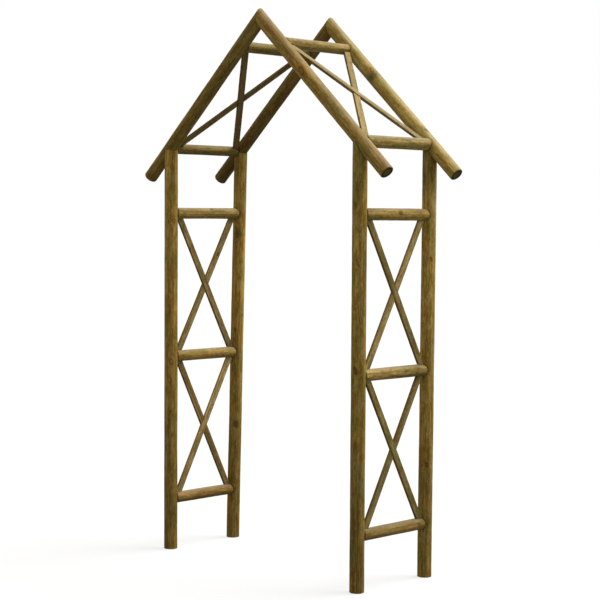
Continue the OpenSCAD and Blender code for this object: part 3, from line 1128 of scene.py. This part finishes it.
def brace_ends(side, levels, falls):
    """The brace's line on the faces of its posts or rafters, front end first, and its cuts at both ends.

    levels are those of the rungs under and over a side brace, and None for a roof brace.
    """
    ends, cuts = [], []
    for row in ROWS:
        top = falls == (row < 0)
        stop = CROSS_POLES[side, (levels or TIE_PLACES)[top]]
        if levels:
            upright = POSTS[side, row]
            point = post_point(side, row, stop.start[2] + (REACH_UP if top else -REACH_DOWN))
            point[1] -= row * POST_R
        else:
            upright = RAFTERS[side, row]
            point = np.array([stop.start[0], row * (AXIS_Y - RAFTER_R), stop.start[2]])
        ends.append(point)
        cuts.append([scribed_to(upright), scribed_to(stop)])
    return ends, cuts


def brace_plans():
    """For each brace: node, partner's node, line, partner's line, cuts and the way out of its panel."""
    for side in SIDES:
        outward = np.array([side, 0.0, 0.0])
        upward = np.array([side * math.sin(PITCH), 0.0, math.cos(PITCH)])
        panels = [
            ("brace_%s_low_" % SIDES[side], outward, ("low", "mid")),
            ("brace_%s_high_" % SIDES[side], outward, ("mid", "top")),
            ("brace_roof_%s_" % SIDES[side], upward, None),
        ]
        for stem, normal, levels in panels:
            fall, rise = brace_ends(side, levels, True), brace_ends(side, levels, False)
            yield stem + "fall", stem + "rise", fall[0], rise[0], fall[1], normal
            yield stem + "rise", stem + "fall", rise[0], fall[0], rise[1], normal


def make_braces():
    for number, (node, partner, line, other_line, cuts, normal) in enumerate(brace_plans()):
        length = np.linalg.norm(line[1] - line[0])
        hidden = 270 if "right" in node else 90
        look = look_of(node, SEEDS["brace"] + number, length, hidden, knots=2)
        batten_brace(node, partner, line, other_line, normal, *cuts, look)


def list_surfaces():
    """Notes every piece's round or flat sides for the dirt and painted shade where pieces meet."""
    for (side, row), post in POSTS.items():
        trimmed = Pole(post.start, post_point(side, row, HEAD_Z), POST_R)
        SURFACES[corner_node("post", side, row)] = off_pole(trimmed)
        SURFACES[corner_node("rafter", side, row)] = off_pole(RAFTERS[side, row])
    for (side, place), pole in CROSS_POLES.items():
        SURFACES[cross_node(side, place)] = off_pole(pole)
    for node, _, line, _, _, normal in brace_plans():
        SURFACES[node] = off_batten(line, normal, brace_level(node))


# ---- Stage, light and camera ----

CAMERA_AT = (4.8215, -4.7436, 1.4967)
CAMERA_TURN, CAMERA_TILT, CAMERA_ROLL = 45.276, -3.047, 0.340
LENS, SENSOR = 94.42, 36.0
WHITE = (1.0, 1.0, 1.0, 1.0)
STUDIO_LIGHT = (1.0, 0.985, 0.96, 1.0)
STUDIO_STRENGTH = 0.95
FLOOR_BOUNCE = (0.16, 0.16, 0.155, 1.0)
FLOOR_SHOWN = (0.12, 0.12, 0.12, 1.0)
FLOOR_LIFT = 0.76
FLOOR_HALF, FLOOR_Z = 60.0, -1 * MM


def turned(degrees, axis):
    return Matrix.Rotation(math.radians(degrees), 4, axis)


def set_camera():
    camera = bpy.data.cameras.new("viewpoint")
    camera.lens = LENS
    camera.sensor_width = SENSOR
    camera.sensor_fit = "HORIZONTAL"
    camera.clip_end = 200.0
    seat = add_object("viewpoint", camera)
    aim = turned(CAMERA_TURN, "Z") @ turned(90 + CAMERA_TILT, "X") @ turned(CAMERA_ROLL, "Z")
    seat.matrix_world = Matrix.Translation(CAMERA_AT) @ aim
    bpy.context.scene.camera = seat


def seen_directly(owner):
    """1 for what the eye sees, directly, in a mirror or through glass, and 0 for light on its way."""
    path = step(owner, "LightPath").outputs
    seen = maths(owner, "MAXIMUM", path["Is Camera Ray"], path["Is Glossy Ray"])
    return maths(owner, "MAXIMUM", seen, path["Is Transmission Ray"])


def set_world():
    world = bpy.data.worlds.new("white_studio")
    bpy.context.scene.world = world
    world.use_nodes = True
    world.node_tree.nodes.clear()
    lit = step(world, "Background", STUDIO_LIGHT, STUDIO_STRENGTH).outputs[0]
    seen = step(world, "Background", WHITE, 1.0).outputs[0]
    mixed = step(world, "MixShader", seen_directly(world), lit, seen).outputs[0]
    step(world, "OutputWorld", mixed)


def set_floor():
    """A wide pale floor. What the eye sees of it is lifted to white, and the object's shadow stays."""
    mesh = bpy.data.meshes.new("floor")
    corners = [(x * FLOOR_HALF, y * FLOOR_HALF, FLOOR_Z) for x, y in ((-1, -1), (1, -1), (1, 1), (-1, 1))]
    mesh.from_pydata(corners, [], [(0, 1, 2, 3)])
    floor = add_object("floor", mesh)
    m = new_finish("pale_floor")
    bounce = step(m, "BsdfDiffuse", FLOOR_BOUNCE).outputs[0]
    shown = step(m, "BsdfDiffuse", FLOOR_SHOWN).outputs[0]
    lift = step(m, "Emission", WHITE, FLOOR_LIFT).outputs[0]
    lifted = step(m, "AddShader", shown, lift).outputs[0]
    step(m, "OutputMaterial", step(m, "MixShader", seen_directly(m), bounce, lifted).outputs[0])
    mesh.materials.append(m)


def soft_sun(bearing, height, strength, width, colour):
    """A far soft lamp. bearing is its turn from the X axis and height its angle over the floor."""
    lamp = bpy.data.lights.new("soft_sun", "SUN")
    lamp.energy = strength
    lamp.angle = math.radians(width)
    lamp.color = colour
    holder = add_object("soft_sun", lamp)
    holder.matrix_world = turned(bearing, "Z") @ turned(90 - height, "Y")


list_surfaces()
make_posts()
make_rafters()
make_rungs_and_ties()
make_braces()
make_screws()
set_camera()
set_world()
set_floor()
soft_sun(bearing=62, height=55, strength=5.6, width=40, colour=(1.0, 0.98, 0.93))
bpy.context.scene.view_settings.view_transform = "Standard"
